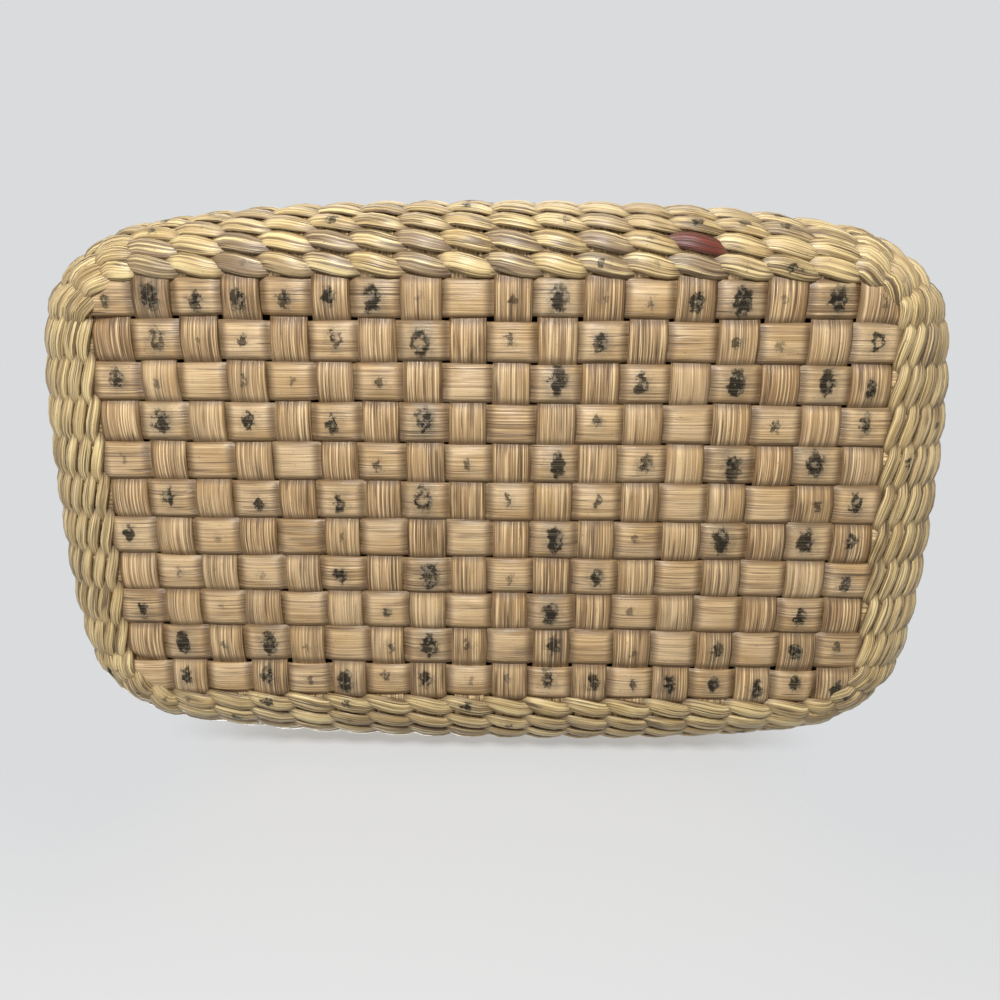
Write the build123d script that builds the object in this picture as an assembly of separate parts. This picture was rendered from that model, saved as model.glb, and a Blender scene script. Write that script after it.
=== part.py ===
from build123d import *
import math
import os

# Basket box bag, in millimetres. It stands on its base mat: X runs along the bag, Y through it with
# the hinge at the back (+Y), Z up. The origin is the middle of the base mat's outer face.

# woven mats, one in the base and one in the lid
column_count = 18
row_count = 11
column_pitch = 12.0
row_pitch = 11.0
mat_thickness = 3.0
strip_dip = 0.9
dip_run = 2.6
mat_corner_radius = 14.0
corner_gap = 1.3
back_gap_columns = (4, 5, 6, 7, 8, 9, 10, 11, 15)
front_gap_columns = (3, 5, 7, 8, 10, 12, 13, 14, 15)

# twined wall
wall_row_count = 24
wall_row_pitch = 6.0
wall_thickness = 3.2
wall_row_groove = 0.9
side_round = 18.0
end_round = 22.0
side_bow = 3.0
end_bow = 2.0
corner_tuck = 6.0
mouth_taper = 2.0
floor_clearance = 0.25

# rim border
rim_height = 8.0
rim_overhang = 1.4
rim_shelf = 2.6
rim_edge_rounding = 1.5

# lid
lid_clearance = 0.3
lid_inset = 3.2
lid_border_width = 6.5
lid_border_height = 6.0
lid_border_rounding = 1.0
lid_rise = 4.5
lid_wall_thickness = 2.6
lid_row_count = 3
lid_row_groove = 0.7

# hinge loops
hinge_spacing = 150.0
hinge_cord_thickness = 2.6
hinge_tunnel_clearance = 0.5
hinge_loop_sides = 16

# handles
handle_span = 96.0
handle_thickness = 8.5
handle_leg_length = 56.0
handle_lean = 10.0
handle_bend_radius = 30.0
handle_foot_length = 20.0
handle_foot_drop = 50.0
handle_clearance = 0.2

# handle lashings
lashing_height = 7.0
lashing_thickness = 1.4
lashing_spacing = 9.5

# flat facets round the outline: each corner, long side and end
corner_facets = 4
side_facets = 4
end_facets = 2

# worked out from the sizes above
mat_length = column_count * column_pitch
mat_width = row_count * row_pitch


def outline_stations():
    """Points round the mat's edge, each with the direction in which the wall leaves it."""
    stations = []
    straight_x = mat_length / 2 - mat_corner_radius
    straight_y = mat_width / 2 - mat_corner_radius
    for corner in range(4):
        sign_x = 1 if corner in (0, 3) else -1
        sign_y = 1 if corner in (0, 1) else -1
        start = 90 * corner
        for facet in range(corner_facets + 1):
            angle = math.radians(start + 90 * facet / corner_facets)
            out_x = math.cos(angle)
            out_y = math.sin(angle)
            x = sign_x * straight_x + mat_corner_radius * out_x
            y = sign_y * straight_y + mat_corner_radius * out_y
            stations.append((x, y, out_x, out_y))
        along_side = corner in (0, 2)
        facets = side_facets if along_side else end_facets
        x, y, out_x, out_y = stations[-1]
        for facet in range(1, facets):
            share = 1 - 2 * facet / facets
            if along_side:
                stations.append((x * share, y, out_x, out_y))
            else:
                stations.append((x, y * share, out_x, out_y))
    return stations


STATIONS = outline_stations()


def station_round(out_x, out_y):
    """Radius with which the wall turns up, large at the ends and small along the sides."""
    return end_round * out_x**2 + side_round * out_y**2


def station_bow(x, y, out_x, out_y):
    """How far the wall swells beyond a straight line between the corners."""
    side = side_bow * (1 - (2 * x / mat_length) ** 2) * out_y**2
    end = end_bow * (1 - (2 * y / mat_width) ** 2) * out_x**2
    return side + end


def station_tuck(x, y, out_x, out_y):
    """How far the belly draws in towards the corners, below a rim that keeps its full outline."""
    side = corner_tuck * (2 * x / mat_length) ** 4 * out_y**2
    end = corner_tuck * (2 * y / mat_width) ** 4 * out_x**2
    return side + end


def turn_up(length, radius):
    """Height reached after a length of wall, measured from the mat's edge."""
    quarter = math.pi / 2 * radius
    if length < quarter:
        return radius * (1 - math.cos(length / radius))
    return radius + length - quarter


def row_height(row):
    return (turn_up(row * wall_row_pitch, side_round) + turn_up(row * wall_row_pitch, end_round)) / 2


wall_top = row_height(wall_row_count)
rim_top = wall_top + rim_height
lid_bottom = rim_top + lid_clearance
lid_top = lid_bottom + lid_border_height + lid_rise


def ring(height, reach):
    """A level outline that lies reach(station) outside the mat's edge."""
    points = []
    for x, y, out_x, out_y in STATIONS:
        distance = reach(x, y, out_x, out_y)
        points.append((x + out_x * distance, y + out_y * distance, height))
    return make_face(Polyline(*points, close=True))


def wall_reach(height, depth):
    """Distance outside the mat's edge of a layer that lies a depth below the wall's outer face."""

    def reach(x, y, out_x, out_y):
        radius = station_round(out_x, out_y)
        steepness = math.sin(math.acos(max(1 - height / radius, 0)))
        rise = max(height - radius, 0) / max(wall_top - radius, 1)
        bow = steepness * station_bow(x, y, out_x, out_y)
        tuck = (steepness - rise) * station_tuck(x, y, out_x, out_y)
        return (radius - depth) * steepness + bow - tuck - mouth_taper * rise**2

    return reach


def wall_ring(height, depth):
    """Outline of such a layer, square to the outer face at that height, so higher where the wall is flat."""
    middle_round = (side_round + end_round) / 2
    flatness = max(1 - height / middle_round, 0)
    return ring(height + depth * flatness, wall_reach(height, depth))


def mat_outline(height):
    return ring(height, lambda x, y, out_x, out_y: 0.0)


def hollow(outside, inside):
    """A closed ring-shaped piece between two stacks of level outlines."""
    return loft(outside, ruled=True) - loft(inside, ruled=True)


def strip_profile(count, pitch, first_over):
    """Side view of one woven strip, which stands up where it passes over the strips that cross it."""
    low = mat_thickness - strip_dip
    points = [(0, low)]
    for cell in range(first_over, count, 2):
        start = cell * pitch
        if cell > 0:
            points.append((start, low))
        points.append((start + dip_run, mat_thickness))
        points.append((start + pitch - dip_run, mat_thickness))
        points.append((start + pitch, low))
    if points[-1][0] < count * pitch:
        points.append((count * pitch, low))
    points.append((count * pitch, 0))
    points.append((0, 0))
    return points


def woven_mat():
    """Plain weave with its face up: each strip rises over every second strip that crosses it."""
    strips = []
    for row in range(row_count):
        profile = make_face(Polyline(*strip_profile(column_count, column_pitch, (row + 1) % 2), close=True))
        place = Plane(
            origin=(-mat_length / 2, -mat_width / 2 + row * row_pitch, 0),
            x_dir=(1, 0, 0),
            z_dir=(0, -1, 0),
        )
        strips.append(extrude(place * profile, row_pitch, dir=(0, 1, 0)))
    for column in range(column_count):
        profile = make_face(Polyline(*strip_profile(row_count, row_pitch, column % 2), close=True))
        place = Plane(
            origin=(-mat_length / 2 + column * column_pitch, -mat_width / 2, 0),
            x_dir=(0, 1, 0),
            z_dir=(1, 0, 0),
        )
        strips.append(extrude(place * profile, column_pitch, dir=(1, 0, 0)))
    mat = Part() + strips
    edge = loft([mat_outline(0), mat_outline(mat_thickness)], ruled=True)
    return mat & edge


def corner_gaps():
    """Small openings left where four strips meet, one row of crossings in from each long edge."""
    gaps = []
    for side, columns in ((1, back_gap_columns), (-1, front_gap_columns)):
        y = side * (mat_width / 2 - row_pitch)
        for column in columns:
            x = -mat_length / 2 + column * column_pitch
            gaps.append(Pos(x, y, mat_thickness / 2) * Box(corner_gap, corner_gap, 2 * mat_thickness))
    return gaps


def base_mat():
    face_down = Pos(0, 0, mat_thickness) * Rot(180, 0, 0) * woven_mat()
    return face_down - corner_gaps()


def side_wall():
    outside = []
    for half_row in range(1, 2 * wall_row_count):
        groove = wall_row_groove if half_row % 2 == 0 else 0
        outside.append(wall_ring(max(row_height(half_row / 2), floor_clearance), groove))
    outside.append(wall_ring(wall_top, wall_row_groove))
    inside = [mat_outline(floor_clearance), mat_outline(mat_thickness)]
    for row in range(2, wall_row_count, 3):
        inside.append(wall_ring(row_height(row), wall_thickness))
    inside.append(wall_ring(wall_top, wall_thickness))
    return hollow(outside, inside) - hinge_tunnels()


def rim_reach(beyond):
    """The rim's outline, a distance beyond the outer face of the wall at its top."""
    at_top = wall_reach(wall_top, 0)
    return lambda *station: at_top(*station) + beyond


def rim_border():
    outer = rim_overhang
    inner = -wall_thickness - rim_shelf
    lower = wall_top + rim_edge_rounding
    upper = rim_top - rim_edge_rounding
    outside = [
        ring(wall_top, rim_reach(outer - rim_edge_rounding / 2)),
        ring(lower, rim_reach(outer)),
        ring(upper, rim_reach(outer)),
        ring(rim_top, rim_reach(outer - rim_edge_rounding)),
    ]
    inside = [
        ring(wall_top, rim_reach(inner + rim_edge_rounding / 2)),
        ring(lower, rim_reach(inner)),
        ring(upper, rim_reach(inner)),
        ring(rim_top, rim_reach(inner + rim_edge_rounding)),
    ]
    return hollow(outside, inside)


lid_edge_beyond = rim_overhang - lid_inset
lid_wall_beyond = lid_edge_beyond - lid_border_width


def lid_border():
    lower = lid_bottom + lid_border_rounding
    upper = lid_bottom + lid_border_height - lid_border_rounding
    top = lid_bottom + lid_border_height
    outside = [
        ring(lid_bottom, rim_reach(lid_edge_beyond - lid_border_rounding)),
        ring(lower, rim_reach(lid_edge_beyond)),
        ring(upper, rim_reach(lid_edge_beyond)),
        ring(top, rim_reach(lid_edge_beyond - lid_border_rounding)),
    ]
    inside = [
        ring(lid_bottom, rim_reach(lid_wall_beyond)),
        ring(top, rim_reach(lid_wall_beyond)),
    ]
    return hollow(outside, inside) - hinge_tunnels()


def lid_ring(share, lower_by):
    """An outline on the lid, at a share of the way from its mat to its border."""
    at_edge = rim_reach(lid_wall_beyond)
    height = lid_top - lid_rise * share**2 - lower_by
    return ring(height, lambda *station: share * at_edge(*station))


def lid_wall():
    outside = [lid_ring(1, lid_wall_thickness)]
    for half_row in range(2 * lid_row_count, 0, -1):
        on_crest = half_row % 2 == 1
        outside.append(lid_ring(half_row / (2 * lid_row_count), 0 if on_crest else lid_row_groove))
    outside.append(lid_ring(0, 0))
    inside = [lid_ring(row / lid_row_count, lid_wall_thickness) for row in range(lid_row_count, -1, -1)]
    shell = hollow(outside, inside)
    mat_hole = loft([mat_outline(lid_top - 2 * mat_thickness), mat_outline(lid_top + mat_thickness)], ruled=True)
    return shell - mat_hole - hinge_tunnels()


def lid_mat():
    return Pos(0, 0, lid_top - mat_thickness) * woven_mat()


# the hinge line lies at the lower back edge of the lid, halfway across the gap under it
hinge_y = mat_width / 2 + rim_reach(lid_edge_beyond)(0, mat_width / 2, 0, 1)
hinge_z = rim_top + lid_clearance / 2
edge_behind_hinge = side_bow * (hinge_spacing / mat_length) ** 2
rim_corner = math.hypot(lid_inset, rim_height + lid_clearance / 2)
lid_corner = math.hypot(lid_border_width + edge_behind_hinge, lid_border_height + lid_clearance / 2)
hinge_loop_radius = max(rim_corner, lid_corner) + hinge_cord_thickness / 2 + hinge_tunnel_clearance


def at_hinge(shape):
    return [Pos(side * hinge_spacing / 2, hinge_y, hinge_z) * Rot(0, 90, 0) * shape for side in (-1, 1)]


def cord_ring(thickness):
    """A ring of cord round the hinge line, six-sided in section."""
    half = thickness / 2
    outside = []
    inside = []
    for height, swell in ((-half, half / 2), (0, half), (half, half / 2)):
        outside.append(Pos(0, 0, height) * RegularPolygon(hinge_loop_radius + swell, hinge_loop_sides))
        inside.append(Pos(0, 0, height) * RegularPolygon(hinge_loop_radius - swell, hinge_loop_sides))
    return hollow(outside, inside)


def hinge_loops():
    """Two cord loops that go round the rim and the lid's border and stay centred on the hinge line."""
    return at_hinge(cord_ring(hinge_cord_thickness))


def hinge_tunnels():
    """The way through for the loops, which stays clear of them as the lid turns."""
    return at_hinge(cord_ring(hinge_cord_thickness + 2 * hinge_tunnel_clearance))


def wall_face_y(x, height):
    """The wall's outer face on the back, at the crest of its rows."""
    return mat_width / 2 + wall_reach(height, 0)(x, mat_width / 2, 0, 1)


foot_x = handle_span / 2
foot_z = rim_top - handle_foot_drop
foot_face = wall_face_y(foot_x - handle_thickness / 2, foot_z)
foot_y = foot_face + handle_clearance + handle_thickness / 2


def handle():
    """The back handle: two feet on the wall, a slight bend outward, two legs and a round arch."""
    lean = math.radians(handle_lean)
    bend_z = foot_z + handle_foot_length
    half_bend = lean / 2
    bend_mid = (
        foot_y + handle_bend_radius * (1 - math.cos(half_bend)),
        bend_z + handle_bend_radius * math.sin(half_bend),
    )
    leg_start = (
        foot_y + handle_bend_radius * (1 - math.cos(lean)),
        bend_z + handle_bend_radius * math.sin(lean),
    )
    leg_end = (
        leg_start[0] + handle_leg_length * math.sin(lean),
        leg_start[1] + handle_leg_length * math.cos(lean),
    )
    crown = (
        leg_end[0] + foot_x * math.sin(lean),
        leg_end[1] + foot_x * math.cos(lean),
    )
    left_leg = [
        Line((-foot_x, foot_y, foot_z), (-foot_x, foot_y, bend_z)),
        ThreePointArc((-foot_x, foot_y, bend_z), (-foot_x, *bend_mid), (-foot_x, *leg_start)),
        Line((-foot_x, *leg_start), (-foot_x, *leg_end)),
    ]
    arch = ThreePointArc((-foot_x, *leg_end), (0, *crown), (foot_x, *leg_end))
    right_leg = [
        Line((foot_x, *leg_end), (foot_x, *leg_start)),
        ThreePointArc((foot_x, *leg_start), (foot_x, *bend_mid), (foot_x, foot_y, bend_z)),
        Line((foot_x, foot_y, bend_z), (foot_x, foot_y, foot_z)),
    ]
    path = Wire([*left_leg, arch, *right_leg])
    section = Plane(origin=(-foot_x, foot_y, foot_z), x_dir=(1, 0, 0), z_dir=(0, 0, 1)) * octagon(handle_thickness)
    return sweep(section, path=path)


def octagon(across):
    return Rot(0, 0, 22.5) * RegularPolygon(across / 2 / math.cos(math.pi / 8), 8)


def lashings():
    """Bindings that hold the feet of the back handle to the wall, two on each foot."""
    width = handle_thickness + 2 * lashing_thickness
    bands = []
    for number in (-1, 1):
        z = foot_z + (handle_foot_length + number * lashing_spacing - lashing_height) / 2
        depth = foot_y - handle_clearance - wall_face_y(foot_x - width / 2, z)
        section = octagon(width) + Pos(0, -depth / 2) * Rectangle(width, depth)
        beyond_wall = Pos(0, -depth - width / 2) * Rectangle(2 * width, width)
        band = extrude(section - beyond_wall - octagon(handle_thickness), lashing_height)
        for x in (-foot_x, foot_x):
            bands.append(Pos(x, foot_y, z) * band)
    return bands


def at_front(shapes):
    """The same pieces on the front wall."""
    return [Rot(0, 0, 180) * shape for shape in shapes]


def write(name, shapes):
    solids = [solid for shape in shapes for solid in shape.solids()]
    export_step(solids[0] if len(solids) == 1 else Compound(solids), f"parts/{name}.step")


os.makedirs("parts", exist_ok=True)
write("base_mat", [base_mat()])
write("side_wall", [side_wall()])
write("rim_border", [rim_border()])
write("lid_mat", [lid_mat()])
write("lid_wall", [lid_wall()])
write("lid_border", [lid_border()])
write("hinge_loops", hinge_loops())
write("handle_back", [handle()])
write("handle_front", at_front([handle()]))
write("handle_lashings_back", lashings())
write("handle_lashings_front", at_front(lashings()))
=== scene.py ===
import math
import bpy
import numpy as np
from mathutils import Matrix, Vector


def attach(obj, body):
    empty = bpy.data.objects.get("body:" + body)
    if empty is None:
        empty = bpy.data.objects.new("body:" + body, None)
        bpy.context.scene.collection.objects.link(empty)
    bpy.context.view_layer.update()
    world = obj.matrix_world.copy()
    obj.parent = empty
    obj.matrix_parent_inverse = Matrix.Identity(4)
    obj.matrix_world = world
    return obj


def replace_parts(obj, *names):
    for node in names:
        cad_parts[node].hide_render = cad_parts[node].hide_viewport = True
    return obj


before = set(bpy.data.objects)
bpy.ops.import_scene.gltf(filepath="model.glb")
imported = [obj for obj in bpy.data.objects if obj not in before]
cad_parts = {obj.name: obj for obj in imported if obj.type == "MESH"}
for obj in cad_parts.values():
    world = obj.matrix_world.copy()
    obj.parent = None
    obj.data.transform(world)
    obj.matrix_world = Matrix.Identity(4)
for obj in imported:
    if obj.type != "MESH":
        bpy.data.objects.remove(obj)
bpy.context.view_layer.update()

# Camera. The bag lies on its front wall with its base towards the camera, which stands a little above
# it and looks slightly down. So the photograph's right is -X here, its up is +Y and its depth is +Z.
look_down = math.radians(14.03)
look_left = math.radians(1.33)
tilt = math.radians(-0.31)
camera_place = Vector((-0.00775, 0.0519, -0.2044))
camera_lens = 27.2
ahead = Vector((math.sin(look_left), 0, math.cos(look_left)))
sideways = Vector((-math.cos(look_left), 0, math.sin(look_left)))
view_ahead = math.cos(look_down) * ahead - math.sin(look_down) * Vector((0, 1, 0))
view_up = math.sin(look_down) * ahead + math.cos(look_down) * Vector((0, 1, 0))
right = math.cos(tilt) * sideways - math.sin(tilt) * view_up
up = math.sin(tilt) * sideways + math.cos(tilt) * view_up
bpy.ops.object.select_all(action="DESELECT")
bpy.ops.object.camera_add()
camera = bpy.context.object
camera.data.lens = camera_lens
camera.matrix_world = Matrix((
    (right.x, up.x, -view_ahead.x, camera_place.x),
    (right.y, up.y, -view_ahead.y, camera_place.y),
    (right.z, up.z, -view_ahead.z, camera_place.z),
    (0, 0, 0, 1),
))
camera.data.clip_start = 0.01
bpy.context.scene.camera = camera
bpy.context.scene.view_settings.view_transform = "Standard"

# Stage. A pale floor under the front wall on which the bag lies in the photograph, and one under the
# base for the views of it standing. Each is seen only from its upper side and takes no light away.


def add_node(tree, kind, inputs=None, **settings):
    """A shader node, with its settings and with each input either linked or set."""
    made = tree.nodes.new("ShaderNode" + kind)
    for name, value in settings.items():
        setattr(made, name, value)
    for name, value in (inputs or {}).items():
        socket = made.inputs[name]
        if isinstance(value, bpy.types.NodeSocket):
            tree.links.new(value, socket)
        else:
            socket.default_value = value
    return made


def new_material(name):
    """An empty material and its node tree."""
    material = bpy.data.materials.new(name)
    material.use_nodes = True
    material.node_tree.nodes.clear()
    return material, material.node_tree


def worked(tree, operation, first, second=0.0):
    """The result of a Math node on one or two values."""
    return add_node(tree, "Math", {0: first, 1: second}, operation=operation).outputs[0]


def ranged(tree, value, low, high, to_low=0.0, to_high=1.0):
    """A value carried smoothly from one range over to another."""
    made = add_node(tree, "MapRange", {0: value, 1: low, 2: high, 3: to_low, 4: to_high})
    made.interpolation_type = "SMOOTHSTEP"
    return made.outputs[0]


cool_white = (0.97, 0.985, 1, 1)
paper_grey = (0.40, 0.405, 0.41, 1)
paper_glow = 0.36
lying_floor_y = -0.0822
under_bag_half = 0.112
under_bag_end = 0.06
fade_start_x = 0.06
fade_start_z = -0.085
fade_end_z = -0.002
floor_half = 1.6
floor_near_z = -0.9
standing_floor_half = 3


def floor_paper(name, soft_ends):
    """Pale paper. Soft ends let it fade into the backdrop beside the bag, before it reaches the base."""
    finish, tree = new_material(name)
    path = add_node(tree, "LightPath")
    facing = add_node(tree, "NewGeometry")
    front = worked(tree, "SUBTRACT", 1.0, facing.outputs["Backfacing"])
    seen = worked(tree, "MULTIPLY", path.outputs["Is Camera Ray"], front)
    if soft_ends:
        place = add_node(tree, "TexCoord")
        along = add_node(tree, "SeparateXYZ", {0: place.outputs["Object"]})
        aside = worked(tree, "ABSOLUTE", along.outputs["X"])
        beside = ranged(tree, aside, fade_start_x, under_bag_half)
        away = ranged(tree, along.outputs["Z"], fade_start_z, fade_end_z)
        kept = worked(tree, "SUBTRACT", 1.0, worked(tree, "MULTIPLY", beside, away))
        seen = worked(tree, "MULTIPLY", seen, kept)
    clear = add_node(tree, "BsdfTransparent")
    paper = add_node(tree, "BsdfDiffuse", {"Color": paper_grey})
    glow = add_node(tree, "Emission", {"Color": cool_white, "Strength": paper_glow})
    pale_paper = add_node(tree, "AddShader", {0: paper.outputs[0], 1: glow.outputs[0]})
    shown = add_node(tree, "MixShader", {0: seen, 1: clear.outputs[0], 2: pale_paper.outputs[0]})
    add_node(tree, "OutputMaterial", {"Surface": shown.outputs[0]})
    return finish


def add_floor(name, finish, corners):
    """A four-cornered floor. Its corners come in the order (-,-), (+,-), (-,+), (+,+)."""
    bpy.ops.object.select_all(action="DESELECT")
    bpy.ops.mesh.primitive_plane_add(size=1)
    floor = bpy.context.object
    floor.name = name
    for point, corner in zip(floor.data.vertices, corners):
        point.co = corner
    floor.data.materials.append(finish)


lying_paper = floor_paper("floor_lying_paper", True)
for name, half, near, far in (
    ("near", floor_half, floor_near_z, 0.0),
    ("under_bag", under_bag_half, 0.0, under_bag_end),
):
    add_floor(f"floor_lying_{name}", lying_paper, [
        (half, lying_floor_y, far), (half, lying_floor_y, near),
        (-half, lying_floor_y, far), (-half, lying_floor_y, near),
    ])
add_floor("floor_standing", floor_paper("floor_standing_paper", False), [
    (x * standing_floor_half, y * standing_floor_half, 0) for y in (-1, 1) for x in (-1, 1)
])

# Light. Even, soft studio light: a dim warm sky all round and four lamps, of which two light the base.
# Only the camera, gloss and clear surfaces see the pale backdrop behind the bag.
sky_warmth = (1, 0.98, 0.95, 1)
sky_strength = 0.29
backdrop_strength = 0.72
world = bpy.data.worlds.new("studio")
bpy.context.scene.world = world
world.use_nodes = True
tree = world.node_tree
tree.nodes.clear()
path = add_node(tree, "LightPath")
direct = worked(tree, "MAXIMUM", path.outputs["Is Camera Ray"], path.outputs["Is Glossy Ray"])
open_view = worked(tree, "MAXIMUM", direct, path.outputs["Is Transmission Ray"])
ambient = add_node(tree, "Background", {"Color": sky_warmth, "Strength": sky_strength})
backdrop = add_node(tree, "Background", {"Color": cool_white, "Strength": backdrop_strength})
sky = add_node(tree, "MixShader", {0: open_view, 1: ambient.outputs[0], 2: backdrop.outputs[0]})
add_node(tree, "OutputWorld", {"Surface": sky.outputs[0]})


def add_lamp(name, place, aim, size, power):
    """A square lamp at a place, turned to a point on the bag."""
    bpy.ops.object.select_all(action="DESELECT")
    bpy.ops.object.light_add(type="AREA", location=place)
    lamp = bpy.context.object
    lamp.name = name
    lamp.data.size = size
    lamp.data.energy = power
    lamp.rotation_euler = (Vector(aim) - Vector(place)).to_track_quat("-Z", "Y").to_euler()


add_lamp("lamp_on_base", (0.02, 0.43, -0.34), (0, 0, 0.02), size=0.18, power=2.9)
add_lamp("lamp_beside_base", (0.40, -0.10, -0.44), (0, -0.02, 0.02), size=0.4, power=0.6)
add_lamp("lamp_behind", (0.1, 1.1, 1.1), (0, 0, 0.08), size=1.0, power=4.5)
add_lamp("lamp_above", (0.5, -0.9, 1.15), (0, 0, 0.08), size=0.8, power=15.0)

# Base mat. Flat dried leaf strips in plain weave, 11 along the bag and 18 through it. Each strip goes
# over and under the strips that cross it, and its ends turn up into the wall as stakes.
column_count = 18
row_count = 11
column_pitch = 0.012
row_pitch = 0.011
mat_half_length = column_count * column_pitch / 2
mat_half_width = row_count * row_pitch / 2
mat_corner = 0.014
weft_width = 0.0107
warp_width = 0.0103
strip_thickness = 0.0009
mat_middle = 0.0020
weave_swing = 0.0009
edge_curl = 0.00085
slit_share = 0.0004
pad_arch = {"weft": 0.0002, "warp": 0.00055}
steps_per_cell = 10
steps_across = 8
strip_sway = 0.00022
warp_shade = 0.4
edge_overrun = 0.0012
weave_snap = 2.3
straight_x = mat_half_length - mat_corner
straight_y = mat_half_width - mat_corner
leaf_seed = 11
draw = np.random.default_rng(leaf_seed)

# dark rub marks as (column: strength), by row from the back, which is the photograph's top, and by
# column from +X, which is its left; a minus makes a ring
rub_marks = {
    1: {1: .4, 2: .95, 3: .65, 4: .7, 5: .65, 6: .65, 7: .95, 8: .2, 10: .35, 11: .95, 12: .3, 13: .35,
        14: .7, 15: 1, 16: .25, 17: .9, 18: .25},
    2: {2: -.75, 3: .3, 4: .4, 6: -.65, 8: -1, 10: .4, 12: .7, 15: .4, 16: .3, 18: -.7},
    3: {1: .7, 2: .3, 4: .3, 5: .3, 7: .4, 11: 1, 13: .7, 15: .95, 17: .9, 18: .6},
    4: {2: .9, 4: .6, 6: .65, 8: .95, 12: .4, 16: .4, 18: .7},
    5: {1: .3, 7: .4, 9: .35, 11: .9, 13: .65, 15: .95, 17: .95},
    6: {2: .65, 4: .5, 6: .7, 8: -.95, 10: .4, 12: .4, 17: .4, 18: .65},
    7: {1: .6, 3: .3, 6: .3, 11: 1, 13: .3, 15: .95, 17: .9, 18: .6},
    8: {2: .3, 4: .3, 6: .65, 8: 1, 10: .3, 12: .65, 18: .65},
    9: {1: .6, 3: .25, 7: .4, 11: .9, 13: .3, 17: .65},
    10: {2: .9, 4: .95, 3: .3, 5: .3, 7: .4, 8: .95, 9: .4, 11: .7, 13: .3, 15: .65, 17: .65, 18: .4},
    11: {2: .65, 4: .7, 5: .35, 6: .9, 7: .4, 8: .7, 9: .3, 10: .3, 11: .7, 12: .7, 13: .4, 14: .65,
         15: .65, 16: .65, 17: .65, 18: .65},
}


def point_array(mesh):
    points = np.zeros(len(mesh.vertices) * 3)
    mesh.vertices.foreach_get("co", points)
    return points.reshape(-1, 3)


def place_points(mesh, points):
    mesh.vertices.foreach_set("co", np.asarray(points, np.float32).ravel())
    mesh.update()


def at_corners(mesh, values, period=0.0):
    """A value of each point, read at the corners of each four-sided face and run on past the join."""
    loops = np.zeros(len(mesh.loops), int)
    mesh.loops.foreach_get("vertex_index", loops)
    corners = values[loops].reshape(-1, 4)
    if period:
        behind = corners.max(axis=1, keepdims=True) - corners > period / 2
        corners = corners + period * behind
    return corners


def add_uv(mesh, name, along, across):
    """A UV map, from its two values at each face corner."""
    layer = mesh.uv_layers.new(name=name)
    layer.data.foreach_set("uv", np.stack([along, across], axis=-1).astype(np.float32).ravel())


def add_tone(mesh, red, green, blue, alpha):
    """Colour and mark of the leaf at each face: brownness, mark strength, mark ring, and a random number."""
    layer = mesh.color_attributes.new(name="tone", type="FLOAT_COLOR", domain="CORNER")
    per_face = np.stack([red, green, blue, alpha], axis=-1)
    layer.data.foreach_set("color", np.repeat(per_face, 4, axis=0).astype(np.float32).ravel())


def new_grid(name, long_steps, short_steps):
    """A flat sheet one unit square, to be laid out strip by strip."""
    bpy.ops.object.select_all(action="DESELECT")
    bpy.ops.mesh.primitive_grid_add(x_subdivisions=long_steps, y_subdivisions=short_steps, size=1)
    sheet = bpy.context.object
    sheet.name = name
    while sheet.data.uv_layers:
        sheet.data.uv_layers.remove(sheet.data.uv_layers[0])
    return sheet


def join(parts, name):
    """Makes one piece of several."""
    bpy.ops.object.select_all(action="DESELECT")
    for part in parts:
        part.select_set(True)
    bpy.context.view_layer.objects.active = parts[0]
    bpy.ops.object.join()
    joined = bpy.context.object
    joined.name = name
    joined.data.name = name
    return joined


def apply_modifier(piece, kind, **settings):
    bpy.context.view_layer.objects.active = piece
    modifier = piece.modifiers.new(kind.lower(), kind)
    for name, value in settings.items():
        setattr(modifier, name, value)
    bpy.ops.object.modifier_apply(modifier=modifier.name)


def edge_limit(other, straight_other, straight_own):
    """Half the length of the mat beside a point that lies at `other` on the other axis."""
    beyond = np.clip(np.abs(other) - straight_other, 0, mat_corner)
    return straight_own + np.sqrt(mat_corner**2 - beyond**2)


def strip_marks(number, runs_along_x, cells, parity, marks):
    """How strong a rub mark each cell of a strip has, where it lies on top, and whether it is a ring."""
    strength = np.zeros(cells)
    ring = np.zeros(cells)
    for cell in range(cells):
        column = column_count - (cell if runs_along_x else number)
        row = row_count - (number if runs_along_x else cell)
        value = marks.get(row, {}).get(column, 0.0)
        on_top = (cell + parity) % 2 == 0
        strength[cell] = abs(value) if on_top else 0.0
        ring[cell] = 1.0 if value < 0 else 0.0
    return strength, ring


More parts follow.
